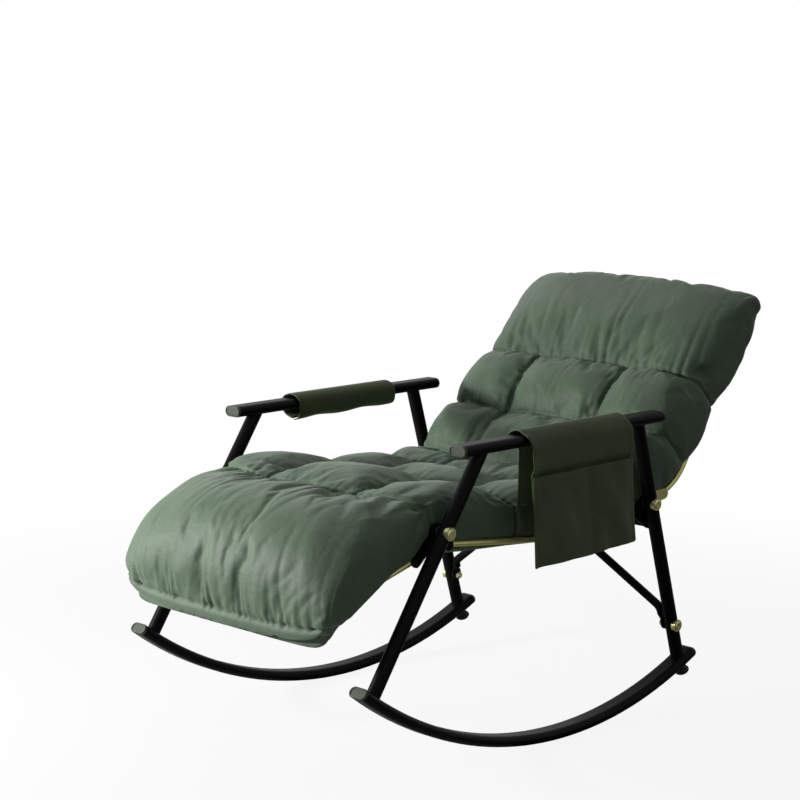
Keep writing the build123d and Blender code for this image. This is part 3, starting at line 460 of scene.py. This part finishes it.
def buildQuilt(quilt):
    u = stationsOf(quilt)
    top, welt, edge, under = (curveThrough(quilt[key], u) for key in ("top", "welt", "edge", "under"))
    half = curveThrough(quilt["half"], u)[:, 0]
    roundness = curveThrough(quilt["roundness"], u)[:, 0]
    pillowed = np.clip(curveThrough(quilt["pillowed"], u)[:, 0], 0.0, 1.0)    # 1: no side panel sewn in
    normal = topNormals(quilt, u)
    seamX = chair["columnSeam"]
    ring = halfRing()
    x = np.zeros((len(u), len(ring)))
    yz = np.zeros((len(u), len(ring), 2))
    pin = np.zeros((len(u), len(ring)))
    rowEnds = [row[1] for row in quilt["rows"]]
    rowOf = np.clip(np.searchsorted(rowEnds, u, side="left"), 0, len(rowEnds) - 1)
    start, end, height, columns, boxed = (np.array([quilt["rows"][r][k] for r in rowOf]) for k in range(5))
    f = (u - start) / (end - start)
    alongPuff = hump(f)
    ease = np.where(columns, 0.0, smoothstep((f - quilting["easeFrom"]) / quilting["easeOver"]))
    onSeam = np.isclose(f, 0.0) | np.isclose(f, 1.0) | (height == 0.0)
    half = half - quilting["seamNotch"] * np.where(height > 0.0, 1.0 - alongPuff, 0.0)
    bellyEdge = np.minimum(quilting["bellyHalf"], half - quilting["bellyInset"])
    allAlong, overPuffs = quilting["sideShares"]
    loose = np.where(columns, 0.0, 1.0)
    for j, (zone, g) in enumerate(ring):
        if zone == "belly":
            x[:, j] = bellyEdge * g
            yz[:, j] = under + (edge - under) * quilting["bellyRise"] * g ** quilting["bellyPower"]
            pin[:, j] = 1.0
        elif zone == "lip":
            x[:, j] = bellyEdge + (half - bellyEdge) * max(0.0, 2.0 * g - 1.0)
            yz[:, j] = under + (edge - under) * min(1.0, quilting["bellyRise"] + quilting["lipRise"] * g)
            pin[:, j] = 1.0
        elif zone == "side":
            bulge = quilting["sideBulge"] * math.sin(math.pi * g) * (allAlong + overPuffs * alongPuff)
            x[:, j] = half + bulge
            yz[:, j] = edge + (welt - edge) * g
            pin[:, j] = np.where(boxed | onSeam, 1.0, 1.0 if g == 0.0 else 0.0)
        else:
            # w runs across the puff from seam to seam, wide from the middle line to the edge
            if zone == "outer":
                place = half + (seamX - half) * g ** quilting["crowding"]
                w = 1.0 - g ** quilting["crowding"]
            else:
                place = np.full(len(u), seamX * (1.0 - g))
                w = 0.5 + 0.5 * (1.0 - g)
            wide = place / half
            cross = (1.0 - np.clip(wide, 0.0, 1.0) ** roundness) ** (1.0 / (1.0 + pillowed))
            acrossPuff = np.where(columns, hump(w), hump(0.5 + 0.5 * wide, *quilting["widePuff"]))
            betweenSeams = 1.0 - (2.0 * w - 1.0) ** 2
            betweenRows = 1.0 - (2.0 * f - 1.0) ** 2
            swollen = np.where(height > 0.0, cross, 0.0)
            tuft = quilting["seamRise"] * (1.0 - alongPuff) * betweenSeams * (1.0 - ease)
            ridge = np.where(columns, quilting["seamRise"] * (1.0 - hump(w)) * betweenRows, 0.0)
            drawnIn = quilting["tuftDepth"] * np.where(height > 0.0, 1.0 - quilting["easedTuft"] * ease, 0.0)
            puff = height * alongPuff * acrossPuff * (1.0 - quilting["easedPuff"] * ease)
            lift = puff + (tuft + ridge) * swollen - drawnIn * cross
            x[:, j] = place
            yz[:, j] = welt + (top - welt) * cross[:, None] + normal * lift[:, None]
            pin[:, j] = np.where(onSeam, 1.0, 0.0)
            if g == 0.0:
                sewn = columns if zone == "inner" else boxed
                pin[:, j] = np.where(sewn | onSeam, 1.0, 0.0)
    onTop = np.array([gathering["share"][zone] for zone, g in ring])
    return u, x, yz, pin, onTop, loose


def closeQuilt(quilt):
    u, x, yz, pin, onTop, loose = buildQuilt(quilt)
    count = x.shape[1]
    # the other half of each ring, without the two middle points that both halves share
    mirrored = np.arange(count - 2, 0, -1)
    fullX = np.concatenate((x, -x[:, mirrored]), axis=1)
    fullYZ = np.concatenate((yz, yz[:, mirrored]), axis=1)
    fullPin = np.concatenate((pin, pin[:, mirrored]), axis=1)
    rings, around = fullX.shape
    verts = np.concatenate((fullX[:, :, None], fullYZ), axis=2).reshape(-1, 3)
    faces = []
    for i in range(rings - 1):
        for j in range(around):
            k = (j + 1) % around
            faces.append((i * around + j, i * around + k, (i + 1) * around + k, (i + 1) * around + j))
    faces.append(tuple(range(around)))
    faces.append(tuple((rings - 1) * around + j for j in range(around)))
    obj = meshObject(quilt["name"], verts, faces)
    layer = obj.data.uv_layers.new(name="fabric")
    reach = np.concatenate(([0.0], np.cumsum(np.linalg.norm(np.diff(yz[:, -1], axis=0), axis=1))))
    girth = np.linspace(-quilting["girth"], quilting["girth"], around + 1)
    for polygon in obj.data.polygons:
        ids = [obj.data.loops[loop].vertex_index for loop in polygon.loop_indices]
        wraps = any(i % around == around - 1 for i in ids) and any(i % around == 0 for i in ids)
        for loop, i in zip(polygon.loop_indices, ids):
            j = i % around
            layer.data[loop].uv = (girth[around if wraps and j == 0 else j], reach[i // around])
    # where each point lies on the flat cloth, kept through the subdivision for the gathers
    fullTop = np.concatenate((onTop, onTop[mirrored]))
    for name, values in (("run", np.repeat(reach, around)), ("across", fullX.reshape(-1)),
                         ("row", np.repeat(u, around)), ("onTop", np.tile(fullTop, rings))):
        obj.data.attributes.new(name, "FLOAT", "POINT").data.foreach_set("value", values.astype(np.float32))
    outwardFaces(obj)
    pinned = fullPin.reshape(-1)
    pinned[:around] = 1.0
    pinned[-around:] = 1.0
    return obj, pinned, np.repeat(loose, around)


stuffing = {
    "pressure": 3.2,
    "spare": -0.045, "looseSpare": -0.100,    # extra cloth, and that of the puffs without columns
    "frames": 18,
    "cap": 0.026,                             # no point moves further
    "tension": 12.0, "shear": 4.0, "bending": 0.05,
    "quality": 4, "mass": 0.2, "airDamping": 4.0,
    "unrest": 0.0012,                         # small waves to start from, so that the cloth can buckle
    "unrestWaves": ((61, 23), (47, 31)),
    "unrestPhases": (0.3, 1.7, 3.1),
}


def stuff(obj, pinned, loose):
    # spare cloth and pressure between pinned seams, so that each puff swells and gathers
    before = np.array([v.co for v in obj.data.vertices])
    group = obj.vertex_groups.new(name="sewn")
    for index in np.nonzero(pinned > 0.5)[0]:
        group.add([int(index)], 1.0, "REPLACE")
    wide = obj.vertex_groups.new(name="wide puffs")
    wide.add([int(index) for index in np.nonzero(loose > 0.5)[0]], 1.0, "REPLACE")
    (acrossRate, alongRate), (depthRate, upRate) = stuffing["unrestWaves"]
    unrest = np.stack([np.sin(before[:, 0] * acrossRate + before[:, 1] * alongRate + phase)
                       * np.sin(before[:, 1] * depthRate - before[:, 2] * upRate + 2 * phase)
                       for phase in stuffing["unrestPhases"]], axis=1)
    seeded = before + unrest * stuffing["unrest"] * (pinned < 0.5)[:, None]
    obj.data.vertices.foreach_set("co", seeded.reshape(-1))
    obj.data.update()
    cloth = obj.modifiers.new("Cloth", "CLOTH")
    settings = cloth.settings
    settings.quality = stuffing["quality"]
    settings.mass = stuffing["mass"]
    settings.air_damping = stuffing["airDamping"]
    settings.tension_stiffness = stuffing["tension"]
    settings.compression_stiffness = stuffing["tension"]
    settings.shear_stiffness = stuffing["shear"]
    settings.bending_stiffness = stuffing["bending"]
    settings.vertex_group_mass = group.name
    settings.use_pressure = True
    settings.uniform_pressure_force = stuffing["pressure"]
    settings.shrink_min = stuffing["spare"]
    settings.shrink_max = stuffing["looseSpare"]
    settings.vertex_group_shrink = wide.name
    settings.effector_weights.gravity = 0.0
    cloth.point_cache.frame_start = 1
    cloth.point_cache.frame_end = stuffing["frames"]
    scene = bpy.context.scene
    for number in range(1, stuffing["frames"] + 1):
        scene.frame_set(number)
    shaped = obj.evaluated_get(bpy.context.evaluated_depsgraph_get())
    after = np.array([v.co for v in shaped.data.vertices])
    obj.modifiers.remove(cloth)
    scene.frame_set(1)
    move = after - before
    length = np.linalg.norm(move, axis=1)
    move *= np.minimum(1.0, stuffing["cap"] / np.maximum(length, 1e-9))[:, None]
    obj.data.vertices.foreach_set("co", (before + move).reshape(-1))
    obj.data.update()
    print(obj.name, "stuffed, largest move", round(float(length.max()) * 1000, 1), "mm, mean",
          round(float(length.mean()) * 1000, 2), "mm")


# Gathers that run out from a seam: height, how far they reach, distance between them, slant
gathering = {
    "rowSeam": (0.0058, 0.034, 0.0205, 2.0),
    "columnSeam": (0.0032, 0.023, 0.0190, 2.0),
    "longFolds": (0.0085, 0.072, 0.044, 7.0),      # on the footrest and the head
    "cornerTucks": (0.0125, 0.055, 0.030, 3.0),    # where the footrest's lower corners are drawn in
    "cornerFrom": 0.13, "cornerOver": 0.09,        # distance from the middle line
    "tuftFan": (0.0064, 0.046, 8, 18.0),           # creases round a tuft: height, reach, how many, slant
    "tuftClear": 0.014,                            # the creases come up over this distance
    "betweenTufts": (0.50, 0.050),       # a row seam gathers less away from its tufts, over this width
    "stitchLine": (0.0038, 0.0045),      # depth and width of the groove along a seam
    "share": {"belly": 0.3, "lip": 0.3, "side": 0.6, "outer": 1.0, "inner": 1.0},
    # so that no two seams fold alike
    "rowSeed": (1.9, 0.4), "longSeed": (2.7, 1.1), "cornerSeed": 4.4, "columnSeed": 5.0, "fanSeed": (2.3, 9.0),
}
foldShape = {
    "crest": 0.42, "level": 0.68,        # rounds the crests, and lays the valleys below the cloth
    "wobble": ((0.42, 31.0, 1.0), (0.30, 73.0, 2.3)),      # amount, rate along the seam, share of the seed
    "uneven": (0.50, 0.50, 19.0, 1.7, 47.0),
    "fanWobble": ((0.8, 2.0, 1.0), (0.5, 3.0, 2.1)),
    "fanUneven": (0.55, 0.45, 1.3, 2.0, 0.7),
}


def wobbleOf(place, seed, terms):
    return sum(amount * np.sin(place * rate + share * seed) for amount, rate, share in terms)


def pleats(place, drift, pitch, seed):
    # uneven folds side by side, rounded on top and narrow in between
    wobble = wobbleOf(place, seed, foldShape["wobble"]) + drift
    wave = 0.5 + 0.5 * np.sin(2.0 * math.pi * (place / pitch + wobble))
    least, more, slow, seedShare, quick = foldShape["uneven"]
    uneven = least + more * np.sin(place * slow + seedShare * seed) * np.sin(place * quick + seed)
    return (wave ** foldShape["crest"] - foldShape["level"]) * uneven


def fan(around, drift, count, seed):
    # uneven creases that run out from a tuft, around is an angle
    wobble = wobbleOf(around, seed, foldShape["fanWobble"]) + drift
    wave = 0.5 + 0.5 * np.sin(count * around + wobble)
    least, more, slowSeed, twice, quickSeed = foldShape["fanUneven"]
    uneven = least + more * np.sin(around + slowSeed * seed) * np.sin(twice * around + quickSeed * seed)
    return (wave ** foldShape["crest"] - foldShape["level"]) * uneven


def foldsFrom(kind, place, away, seed):
    height, reach, pitch, slant = gathering[kind]
    return height * pleats(place, slant * away, pitch, seed) * np.exp(-away / reach)


def creasesAround(across, beyond, seed):
    height, reach, count, slant = gathering["tuftFan"]
    out = np.hypot(across, beyond)
    creases = fan(np.arctan2(beyond, across), slant * out, count, seed)
    return height * creases * np.exp(-out / reach) * smoothstep(out / gathering["tuftClear"])


def stitchGroove(away):
    depth, width = gathering["stitchLine"]
    return depth * np.exp(-(away / width) ** 2)


def readAttribute(mesh, name):
    values = np.zeros(len(mesh.vertices), np.float32)
    mesh.attributes[name].data.foreach_get("value", values)
    return values.astype(float)


def gather(obj, quilt):
    mesh = obj.data
    flatNames = ("run", "across", "row", "onTop")
    run, across, row, onTop = (readAttribute(mesh, name) for name in flatNames)
    points = np.array([v.co for v in mesh.vertices])
    normals = np.array([v.normal for v in mesh.vertices])
    lift = np.zeros(len(points))
    seams = sorted({edge for start, end, *_ in quilt["rows"] for edge in (start, end)})
    columnSeams = (-chair["columnSeam"], chair["columnSeam"])
    order = np.argsort(row)
    puffed = np.ones(len(points))
    for start, end, height, _, _ in quilt["rows"]:
        if height == 0.0:
            puffed[(row > start) & (row <= end)] = 0.0
    for number, seam in enumerate(seams):
        beyond = run - np.interp(seam, row[order], run[order])
        away = np.abs(beyond)
        touching = [r for r in quilt["rows"] if seam in r[:2]]
        share = 1.0
        if any(columns for _, _, _, columns, _ in touching):
            least, width = gathering["betweenTufts"]
            share = least + (1.0 - least) * np.exp(-((np.abs(across) - chair["columnSeam"]) / width) ** 2)
            bySeam, byColumn = gathering["fanSeed"]
            for seamX in columnSeams:
                lift += puffed * creasesAround(across - seamX, beyond, number * bySeam + byColumn * seamX)
        bySeam, first = gathering["rowSeed"]
        lift += puffed * share * foldsFrom("rowSeam", across, away, number * bySeam + first)
        lift -= stitchGroove(away)
        loose = [(start, end) for start, end, height, columns, _ in touching if not columns and height > 0.0]
        if loose:
            start, end = loose[0]
            bySeam, first = gathering["longSeed"]
            inside = (row >= start) & (row <= end)
            lift += inside * foldsFrom("longFolds", across, away, number * bySeam + first)
        if seam == quilt.get("tuckedSeam"):
            corner = smoothstep((np.abs(across) - gathering["cornerFrom"]) / gathering["cornerOver"])
            lift += puffed * corner * foldsFrom("cornerTucks", across, away, gathering["cornerSeed"])
    for start, end, _, columns, _ in quilt["rows"]:
        if columns:
            inside = (row >= start) & (row <= end)
            for seamX in columnSeams:
                away = np.abs(across - seamX)
                lift += inside * foldsFrom("columnSeam", run, away, start + gathering["columnSeed"] * seamX)
                lift -= inside * stitchGroove(away)
    points += normals * (lift * onTop)[:, None]
    free = quilting["widest"] - quilting["yield"]
    over = np.maximum(np.abs(points[:, 0]) - free, 0.0) / quilting["yield"]
    pressed = free + quilting["yield"] * (1.0 - np.exp(-over))
    points[:, 0] = np.where(over > 0.0, np.sign(points[:, 0]) * pressed, points[:, 0])
    mesh.vertices.foreach_set("co", points.reshape(-1))
    for name in flatNames:
        mesh.attributes.remove(mesh.attributes[name])
    mesh.update()


def makeQuilt(quilt):
    obj, pinned, loose = closeQuilt(quilt)
    stuff(obj, pinned, loose)
    addFiner(obj)
    applyAll(obj)
    gather(obj, quilt)
    bpy.ops.object.shade_smooth()
    paint(obj, finishes["cushion_fabric"])
    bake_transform(obj)
    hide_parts(*quilt["replaced"])
    print(obj.name, len(obj.data.polygons), "faces")


makeQuilt(frontQuilt)
makeQuilt(backQuilt)


# Bag over the near armrest and the sleeve on the far one

def sheetGrid(name, across, along, place):
    # a grid of cloth, place(f across, g along) gives a point, with its flat size as UV in metres
    fs = np.linspace(0.0, 1.0, across + 1)
    gs = np.linspace(0.0, 1.0, along + 1)
    points = np.array([[place(f, g) for f in fs] for g in gs])
    width = across + 1
    faces = [(i * width + j, i * width + j + 1, (i + 1) * width + j + 1, (i + 1) * width + j)
             for i in range(along) for j in range(across)]
    obj = meshObject(name, points.reshape(-1, 3), faces)
    acrossLength = np.linalg.norm(np.diff(points, axis=1), axis=2).sum(axis=1).mean()
    alongLength = np.linalg.norm(np.diff(points, axis=0), axis=2).sum(axis=0).mean()
    layer = obj.data.uv_layers.new(name="fabric")
    for loop in obj.data.loops:
        i, j = divmod(loop.vertex_index, width)
        layer.data[loop.index].uv = (fs[j] * acrossLength, gs[i] * alongLength)
    return obj, (float(acrossLength), float(alongLength))


def thicken(obj, thickness):
    wall = obj.modifiers.new("Cloth thickness", "SOLIDIFY")
    wall.thickness = thickness
    wall.offset = 0.0
    addFiner(obj)
    applyAll(obj)
    outwardFaces(obj)
    bpy.ops.object.shade_smooth()


bag = {
    "grid": (56, 104),
    "thickness": 0.0026,
    "front": -0.131, "rear": 0.136,
    # place along the cloth, x, z: from the inner flap's edge over the armrest and down outside
    "line": ((0.0, 0.2628, 0.432), (0.14, 0.2640, 0.480), (0.30, 0.2652, 0.545), (0.36, 0.2685, 0.563),
             (0.44, 0.2900, 0.5730), (0.52, 0.3120, 0.5630), (0.58, 0.3155, 0.545), (0.78, 0.3175, 0.440),
             (1.0, 0.3190, 0.338)),
    "outside": 0.5,                           # the place where the outer side begins
    "innerFront": -0.098,                     # the inner flap is cut narrower
    "innerUpTo": 0.37, "innerOver": 0.11,
    "hangFrom": 0.56, "hangOver": 0.22,       # z where the outer side hangs free, and how deep
    "trail": 0.018,                           # how far the bottom hangs to the rear
    "frontDrop": 0.008,                       # how much lower the front corner hangs
    "longFold": (0.0022, 9.0, 4.0), "shortFold": (0.0016, 21.0, 3.0), "swell": 0.003,
    "bandEdge": 0.503, "bandStep": 0.0075,    # the upper band stands out over the pockets
    "bandBlend": 0.006, "bandTop": 0.566, "bandTopBlend": 0.02,
    "hemWidth": 0.013, "hemRise": 0.0016, "hemBlend": 0.004,
}


def bagPoint(f, g):
    x, z = curveThrough(bag["line"], [g])[0]
    isOutside = g > bag["outside"]
    front = bag["front"]
    if g < bag["innerUpTo"]:
        narrower = float(smoothstep((bag["innerUpTo"] - g) / bag["innerOver"]))
        front += (bag["innerFront"] - bag["front"]) * narrower
    y = front + (bag["rear"] - front) * f
    hang = max(0.0, (bag["hangFrom"] - z) / bag["hangOver"]) if isOutside else 0.0
    y += bag["trail"] * hang
    longHeight, longRate, longDrift = bag["longFold"]
    shortHeight, shortRate, shortDrift = bag["shortFold"]
    fold = (longHeight * math.sin(longRate * f + longDrift * hang) * hang
            + shortHeight * math.sin(shortRate * f + shortDrift * g) * hang)
    x += fold + bag["swell"] * hang * math.sin(math.pi * f)
    if isOutside:
        x += bag["bandStep"] * float(smoothstep((z - bag["bandEdge"]) / bag["bandBlend"])
                                     * smoothstep((bag["bandTop"] - z) / bag["bandTopBlend"]))
    hem = min(f, 1.0 - f) * (bag["rear"] - bag["front"])
    rise = bag["hemRise"] * float(smoothstep((bag["hemWidth"] - hem) / bag["hemBlend"]))
    x += rise if isOutside else -rise
    return (x, y, z - bag["frontDrop"] * (1.0 - f) * hang)


pockets = {
    "grid": (56, 44),
    "thickness": 0.0020,
    "mouth": 0.499, "bottom": 0.341,          # z
    "divider": 0.53,                          # seam between the two pockets
    "gap": 0.0022,
    "bulge": 0.012, "bulgeShape": (2.2, 0.6),     # power and fullness across a pocket
    "bulgeShares": (0.25, 0.75), "bulgeFrom": 0.12, "bulgeRun": 0.78,
    "crease": (0.0034, 9.0, 7.0), "creaseFade": 0.6,
    "hemFrom": 0.90, "hemBlend": 0.03,
}


def pocketPoint(f, g):
    # f along the armrest, g up from the bottom to the mouth
    z = pockets["bottom"] + (pockets["mouth"] - pockets["bottom"]) * g
    low, high = bag["line"][-1], bag["line"][-3]
    reach = low[0] + (high[0] - low[0]) * (z - low[2]) / (high[2] - low[2])
    x, y, lower = bagPoint(f, reach)
    divider = pockets["divider"]
    cell = f / divider if f < divider else (f - divider) / (1.0 - divider)
    always, inside = pockets["bulgeShares"]
    upward = always + inside * math.sin(math.pi * (pockets["bulgeFrom"] + pockets["bulgeRun"] * g))
    belly = float(hump(cell, *pockets["bulgeShape"])) * upward
    height, acrossRate, upRate = pockets["crease"]
    crease = height * math.sin(acrossRate * cell + upRate * g) * math.sin(math.pi * cell)
    hem = bag["hemRise"] * float(smoothstep((g - pockets["hemFrom"]) / pockets["hemBlend"]))
    out = pockets["gap"] + pockets["bulge"] * belly + crease * (1.0 - pockets["creaseFade"] * g) + hem
    return (x + out, y, lower)


bagStrip, bagFlat = sheetGrid("bag_strip", *bag["grid"], bagPoint)
thicken(bagStrip, bag["thickness"])
paint(bagStrip, finishes["bag_fabric"])
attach(bagStrip, "base")
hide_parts("armrest_bag")

pocketPanel, pocketFlat = sheetGrid("bag_pocket_panel", *pockets["grid"], pocketPoint)
thicken(pocketPanel, pockets["thickness"])
paint(pocketPanel, finishes["bag_fabric"])
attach(pocketPanel, "base")
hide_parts("bag_pockets")

sleeve = {
    "grid": (34, 44),
    "thickness": 0.0026,
    "front": -0.135, "rear": 0.118,
    # place along the cloth, x, z: once round the armrest, from below
    "line": ((0.0, -0.2860, 0.5295), (0.10, -0.3060, 0.5350), (0.20, -0.3155, 0.5470),
             (0.32, -0.3125, 0.5640), (0.50, -0.2900, 0.5725), (0.68, -0.2675, 0.5640),
             (0.80, -0.2640, 0.5450), (0.92, -0.2700, 0.5330), (1.0, -0.2845, 0.5285)),
    "looseBelow": 0.555, "looseOver": 0.03,       # z under which the cloth hangs off the tube
    "ripple": (0.0018, 13.0, 5.0), "sideRipple": (0.0012, 17.0),
    "frontDrop": 0.004,
}


def sleevePoint(f, g):
    x, z = curveThrough(sleeve["line"], [g])[0]
    y = sleeve["front"] + (sleeve["rear"] - sleeve["front"]) * f
    low = max(0.0, (sleeve["looseBelow"] - z) / sleeve["looseOver"])
    height, alongRate, roundRate = sleeve["ripple"]
    z += height * math.sin(alongRate * f + roundRate * g) * low - sleeve["frontDrop"] * low * (1.0 - f)
    height, alongRate = sleeve["sideRipple"]
    x += height * math.sin(alongRate * f) * low
    return (x, y, z)


sleeveCloth, sleeveFlat = sheetGrid("sleeve_cloth", *sleeve["grid"], sleevePoint)
thicken(sleeveCloth, sleeve["thickness"])
paint(sleeveCloth, finishes["bag_fabric"])
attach(sleeveCloth, "base")
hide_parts("armrest_sleeve")
print("bag and sleeve hung")


# Floor, light and camera

studio = {
    "floorSize": 90.0,
    "floorLook": {"Base Color": (0.60, 0.60, 0.60, 1.0), "Roughness": 0.9},
    "floorFade": (0.8, 2.2),      # distance from the chair over which the floor turns white
    "floorGlow": (0.90, 1.0),     # share of plain white that the camera sees, near and far
    "aim": (0.0, -0.30, 0.40),
    # name, place, size, power
    "lamps": (("key", (-1.30, -1.65, 0.85), 0.35, 58.0), ("fill", (-2.4, 0.6, 2.2), 1.4, 11.0),
              ("top", (-0.6, 0.4, 2.8), 2.2, 6.0)),
    "worldLevel": 0.085,
    "white": (1.0, 1.0, 1.0, 1.0),
}


def addFloor():
    deselectAll()
    bpy.ops.mesh.primitive_plane_add(size=studio["floorSize"])
    floor = bpy.context.object
    floor.name = "floor"
    material, tree, shader = newMaterial("paleFloor")
    setSockets(shader, studio["floorLook"])
    glow = addNode(tree, "ShaderNodeEmission")
    path = addNode(tree, "ShaderNodeLightPath")
    mix = addNode(tree, "ShaderNodeMixShader")
    away = addNode(tree, "ShaderNodeVectorMath", operation="LENGTH")
    tree.links.new(objectCoords(tree), away.inputs[0])
    fade = rangeNode(tree, away.outputs["Value"], *studio["floorGlow"], interpolation_type="SMOOTHSTEP")
    setSockets(fade, dict(zip(("From Min", "From Max"), studio["floorFade"])))
    share = mathNode(tree, "MULTIPLY", path.outputs["Is Camera Ray"], fade.outputs["Result"])
    tree.links.new(share, mix.inputs["Fac"])
    tree.links.new(shader.outputs["BSDF"], mix.inputs[1])
    tree.links.new(glow.outputs["Emission"], mix.inputs[2])
    tree.links.new(mix.outputs["Shader"], tree.nodes["Material Output"].inputs["Surface"])
    paint(floor, material)


def addLamp(name, place, size, power):
    lamp = bpy.data.lights.new(name, "AREA")
    lamp.shape = "DISK"
    lamp.size = size
    lamp.energy = power
    obj = bpy.data.objects.new(name, lamp)
    bpy.context.scene.collection.objects.link(obj)
    obj.location = place
    obj.rotation_euler = (Vector(studio["aim"]) - Vector(place)).to_track_quat("-Z", "Y").to_euler()


def setWorld():
    # white where it is seen, straight or in a gloss, and dim as a light
    world = bpy.data.worlds.new("paleStudio")
    world.use_nodes = True
    tree = world.node_tree
    background = tree.nodes["Background"]
    background.inputs["Color"].default_value = studio["white"]
    path = addNode(tree, "ShaderNodeLightPath")
    seen = mathNode(tree, "MAXIMUM", path.outputs["Is Camera Ray"], path.outputs["Is Glossy Ray"])
    level = rangeNode(tree, seen, studio["worldLevel"], 1.0)
    tree.links.new(level.outputs["Result"], background.inputs["Strength"])
    bpy.context.scene.world = world


addFloor()
for lampValues in studio["lamps"]:
    addLamp(*lampValues)
setWorld()

photoCamera = {
    "place": (2.8266, -2.8972, 1.2158),
    "pitch": 11.93, "turn": 45.59,
    "lens": 99.855, "sensor": 36.0,
    "shiftY": 0.1445,
}
lens = bpy.data.cameras.new("photoCamera")
lens.lens = photoCamera["lens"]
lens.sensor_width = photoCamera["sensor"]
lens.shift_y = photoCamera["shiftY"]
camera = bpy.data.objects.new("photoCamera", lens)
bpy.context.scene.collection.objects.link(camera)
camera.location = photoCamera["place"]
camera.rotation_euler = (math.radians(90.0 - photoCamera["pitch"]), 0.0, math.radians(photoCamera["turn"]))
bpy.context.scene.camera = camera
bpy.context.scene.view_settings.view_transform = "Standard"
